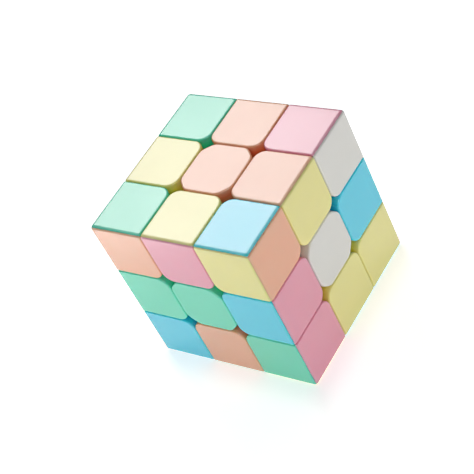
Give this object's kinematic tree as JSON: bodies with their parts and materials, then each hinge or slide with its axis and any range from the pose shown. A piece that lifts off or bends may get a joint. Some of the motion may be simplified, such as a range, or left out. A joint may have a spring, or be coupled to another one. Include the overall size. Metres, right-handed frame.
{
  "type": "cube twisty puzzle",
  "caption": "Stickerless pastel cube puzzle whose six faces turn on a sprung core, with hollow colour shells, feet, screws, springs and washers.",
  "frame": {"origin": "centre of the cube, where the six turning axes cross", "axes": "+Z out of the up face, +X out of the right face, -Y out of the front face"},
  "size_m": [0.056, 0.056, 0.056],
  "materials": {
    "pink_plastic": "moulded, satin gloss",
    "blue_plastic": "moulded, satin gloss",
    "mint_plastic": "moulded, satin gloss",
    "yellow_plastic": "moulded, satin gloss",
    "peach_plastic": "moulded, satin gloss",
    "white_plastic": "moulded, satin gloss",
    "core_plastic": "moulded nylon",
    "zinc_steel": "zinc plated",
    "spring_steel": "drawn wire"
  },
  "bodies": {
    "core": {"core": "core_plastic", "screws": "zinc_steel", "springs": "spring_steel", "washers": "zinc_steel"},
    "centre_up": {"centre_up_peach": "peach_plastic"},
    "centre_down": {"centre_down_pink": "pink_plastic"},
    "centre_front": {"centre_front_mint": "mint_plastic"},
    "centre_back": {"centre_back_blue": "blue_plastic"},
    "centre_right": {"centre_right_white": "white_plastic"},
    "centre_left": {"centre_left_yellow": "yellow_plastic"},
    "edge_up_right": {"edge_up_right_peach_shell": "peach_plastic", "edge_up_right_yellow_shell": "yellow_plastic"},
    "edge_up_left": {"edge_up_left_mint_shell": "mint_plastic", "edge_up_left_yellow_shell": "yellow_plastic"},
    "edge_up_front": {"edge_up_front_pink_shell": "pink_plastic", "edge_up_front_yellow_shell": "yellow_plastic"},
    "edge_up_back": {"edge_up_back_peach_shell": "peach_plastic", "edge_up_back_white_shell": "white_plastic"},
    "edge_down_right": {"edge_down_right_blue_shell": "blue_plastic", "edge_down_right_yellow_shell": "yellow_plastic"},
    "edge_down_left": {"edge_down_left_blue_shell": "blue_plastic", "edge_down_left_white_shell": "white_plastic"},
    "edge_down_front": {"edge_down_front_mint_shell": "mint_plastic", "edge_down_front_peach_shell": "peach_plastic"},
    "edge_down_back": {"edge_down_back_mint_shell": "mint_plastic", "edge_down_back_white_shell": "white_plastic"},
    "edge_front_right": {"edge_front_right_blue_shell": "blue_plastic", "edge_front_right_pink_shell": "pink_plastic"},
    "edge_back_right": {"edge_back_right_blue_shell": "blue_plastic", "edge_back_right_peach_shell": "peach_plastic"},
    "edge_front_left": {"edge_front_left_mint_shell": "mint_plastic", "edge_front_left_pink_shell": "pink_plastic"},
    "edge_back_left": {"edge_back_left_pink_shell": "pink_plastic", "edge_back_left_white_shell": "white_plastic"},
    "corner_up_front_right": {"corner_up_front_right_blue_shell": "blue_plastic", "corner_up_front_right_peach_shell": "peach_plastic", "corner_up_front_right_yellow_shell": "yellow_plastic"},
    "corner_up_back_right": {"corner_up_back_right_mint_shell": "mint_plastic", "corner_up_back_right_pink_shell": "pink_plastic", "corner_up_back_right_white_shell": "white_plastic"},
    "corner_up_front_left": {"corner_up_front_left_mint_shell": "mint_plastic", "corner_up_front_left_peach_shell": "peach_plastic", "corner_up_front_left_white_shell": "white_plastic"},
    "corner_up_back_left": {"corner_up_back_left_mint_shell": "mint_plastic", "corner_up_back_left_peach_shell": "peach_plastic", "corner_up_back_left_yellow_shell": "yellow_plastic"},
    "corner_down_front_right": {"corner_down_front_right_mint_shell": "mint_plastic", "corner_down_front_right_pink_shell": "pink_plastic", "corner_down_front_right_yellow_shell": "yellow_plastic"},
    "corner_down_back_right": {"corner_down_back_right_blue_shell": "blue_plastic", "corner_down_back_right_pink_shell": "pink_plastic", "corner_down_back_right_yellow_shell": "yellow_plastic"},
    "corner_down_front_left": {"corner_down_front_left_blue_shell": "blue_plastic", "corner_down_front_left_peach_shell": "peach_plastic", "corner_down_front_left_white_shell": "white_plastic"},
    "corner_down_back_left": {"corner_down_back_left_blue_shell": "blue_plastic", "corner_down_back_left_pink_shell": "pink_plastic", "corner_down_back_left_white_shell": "white_plastic"}
  },
  "joints": [
    {"name": "up_turn", "type": "hinge", "parent": "core", "child": "centre_up", "pos_m": [0, 0, 0], "axis": [0, 0, 1], "continuous": true},
    {"name": "down_turn", "type": "hinge", "parent": "core", "child": "centre_down", "pos_m": [0, 0, 0], "axis": [0, 0, -1], "continuous": true},
    {"name": "front_turn", "type": "hinge", "parent": "core", "child": "centre_front", "pos_m": [0, 0, 0], "axis": [0, -1, 0], "continuous": true},
    {"name": "back_turn", "type": "hinge", "parent": "core", "child": "centre_back", "pos_m": [0, 0, 0], "axis": [0, 1, 0], "continuous": true},
    {"name": "right_turn", "type": "hinge", "parent": "core", "child": "centre_right", "pos_m": [0, 0, 0], "axis": [1, 0, 0], "continuous": true},
    {"name": "left_turn", "type": "hinge", "parent": "core", "child": "centre_left", "pos_m": [0, 0, 0], "axis": [-1, 0, 0], "continuous": true},
    {"name": "edge_up_right_with_right", "type": "hinge", "parent": "centre_up", "child": "edge_up_right", "pos_m": [0, 0, 0], "axis": [1, 0, 0], "continuous": true},
    {"name": "edge_up_left_with_left", "type": "hinge", "parent": "centre_up", "child": "edge_up_left", "pos_m": [0, 0, 0], "axis": [-1, 0, 0], "continuous": true},
    {"name": "edge_up_front_with_front", "type": "hinge", "parent": "centre_up", "child": "edge_up_front", "pos_m": [0, 0, 0], "axis": [0, -1, 0], "continuous": true},
    {"name": "edge_up_back_with_back", "type": "hinge", "parent": "centre_up", "child": "edge_up_back", "pos_m": [0, 0, 0], "axis": [0, 1, 0], "continuous": true},
    {"name": "edge_down_right_with_down", "type": "hinge", "parent": "centre_right", "child": "edge_down_right", "pos_m": [0, 0, 0], "axis": [0, 0, -1], "continuous": true},
    {"name": "edge_down_left_with_down", "type": "hinge", "parent": "centre_left", "child": "edge_down_left", "pos_m": [0, 0, 0], "axis": [0, 0, -1], "continuous": true},
    {"name": "edge_down_front_with_down", "type": "hinge", "parent": "centre_front", "child": "edge_down_front", "pos_m": [0, 0, 0], "axis": [0, 0, -1], "continuous": true},
    {"name": "edge_down_back_with_down", "type": "hinge", "parent": "centre_back", "child": "edge_down_back", "pos_m": [0, 0, 0], "axis": [0, 0, -1], "continuous": true},
    {"name": "edge_front_right_with_right", "type": "hinge", "parent": "centre_front", "child": "edge_front_right", "pos_m": [0, 0, 0], "axis": [1, 0, 0], "continuous": true},
    {"name": "edge_back_right_with_back", "type": "hinge", "parent": "centre_right", "child": "edge_back_right", "pos_m": [0, 0, 0], "axis": [0, 1, 0], "continuous": true},
    {"name": "edge_front_left_with_front", "type": "hinge", "parent": "centre_left", "child": "edge_front_left", "pos_m": [0, 0, 0], "axis": [0, -1, 0], "continuous": true},
    {"name": "edge_back_left_with_left", "type": "hinge", "parent": "centre_back", "child": "edge_back_left", "pos_m": [0, 0, 0], "axis": [-1, 0, 0], "continuous": true},
    {"name": "corner_up_front_right_with_up", "type": "hinge", "parent": "edge_front_right", "child": "corner_up_front_right", "pos_m": [0, 0, 0], "axis": [0, 0, 1], "continuous": true},
    {"name": "corner_up_back_right_with_up", "type": "hinge", "parent": "edge_back_right", "child": "corner_up_back_right", "pos_m": [0, 0, 0], "axis": [0, 0, 1], "continuous": true},
    {"name": "corner_up_front_left_with_up", "type": "hinge", "parent": "edge_front_left", "child": "corner_up_front_left", "pos_m": [0, 0, 0], "axis": [0, 0, 1], "continuous": true},
    {"name": "corner_up_back_left_with_up", "type": "hinge", "parent": "edge_back_left", "child": "corner_up_back_left", "pos_m": [0, 0, 0], "axis": [0, 0, 1], "continuous": true},
    {"name": "corner_down_front_right_with_down", "type": "hinge", "parent": "edge_front_right", "child": "corner_down_front_right", "pos_m": [0, 0, 0], "axis": [0, 0, -1], "continuous": true},
    {"name": "corner_down_back_right_with_down", "type": "hinge", "parent": "edge_back_right", "child": "corner_down_back_right", "pos_m": [0, 0, 0], "axis": [0, 0, -1], "continuous": true},
    {"name": "corner_down_front_left_with_down", "type": "hinge", "parent": "edge_front_left", "child": "corner_down_front_left", "pos_m": [0, 0, 0], "axis": [0, 0, -1], "continuous": true},
    {"name": "corner_down_back_left_with_down", "type": "hinge", "parent": "edge_back_left", "child": "corner_down_back_left", "pos_m": [0, 0, 0], "axis": [0, 0, -1], "continuous": true}
  ],
  "couplings": [
    {"joint": "edge_up_right_with_right", "follows": "right_turn", "ratio": 1},
    {"joint": "edge_up_left_with_left", "follows": "left_turn", "ratio": 1},
    {"joint": "edge_up_front_with_front", "follows": "front_turn", "ratio": 1},
    {"joint": "edge_up_back_with_back", "follows": "back_turn", "ratio": 1},
    {"joint": "edge_down_right_with_down", "follows": "down_turn", "ratio": 1},
    {"joint": "edge_down_left_with_down", "follows": "down_turn", "ratio": 1},
    {"joint": "edge_down_front_with_down", "follows": "down_turn", "ratio": 1},
    {"joint": "edge_down_back_with_down", "follows": "down_turn", "ratio": 1},
    {"joint": "edge_front_right_with_right", "follows": "right_turn", "ratio": 1},
    {"joint": "edge_back_right_with_back", "follows": "back_turn", "ratio": 1},
    {"joint": "edge_front_left_with_front", "follows": "front_turn", "ratio": 1},
    {"joint": "edge_back_left_with_left", "follows": "left_turn", "ratio": 1},
    {"joint": "corner_up_front_right_with_up", "follows": "up_turn", "ratio": 1},
    {"joint": "corner_up_back_right_with_up", "follows": "up_turn", "ratio": 1},
    {"joint": "corner_up_front_left_with_up", "follows": "up_turn", "ratio": 1},
    {"joint": "corner_up_back_left_with_up", "follows": "up_turn", "ratio": 1},
    {"joint": "corner_down_front_right_with_down", "follows": "down_turn", "ratio": 1},
    {"joint": "corner_down_back_right_with_down", "follows": "down_turn", "ratio": 1},
    {"joint": "corner_down_front_left_with_down", "follows": "down_turn", "ratio": 1},
    {"joint": "corner_down_back_left_with_down", "follows": "down_turn", "ratio": 1}
  ]
}
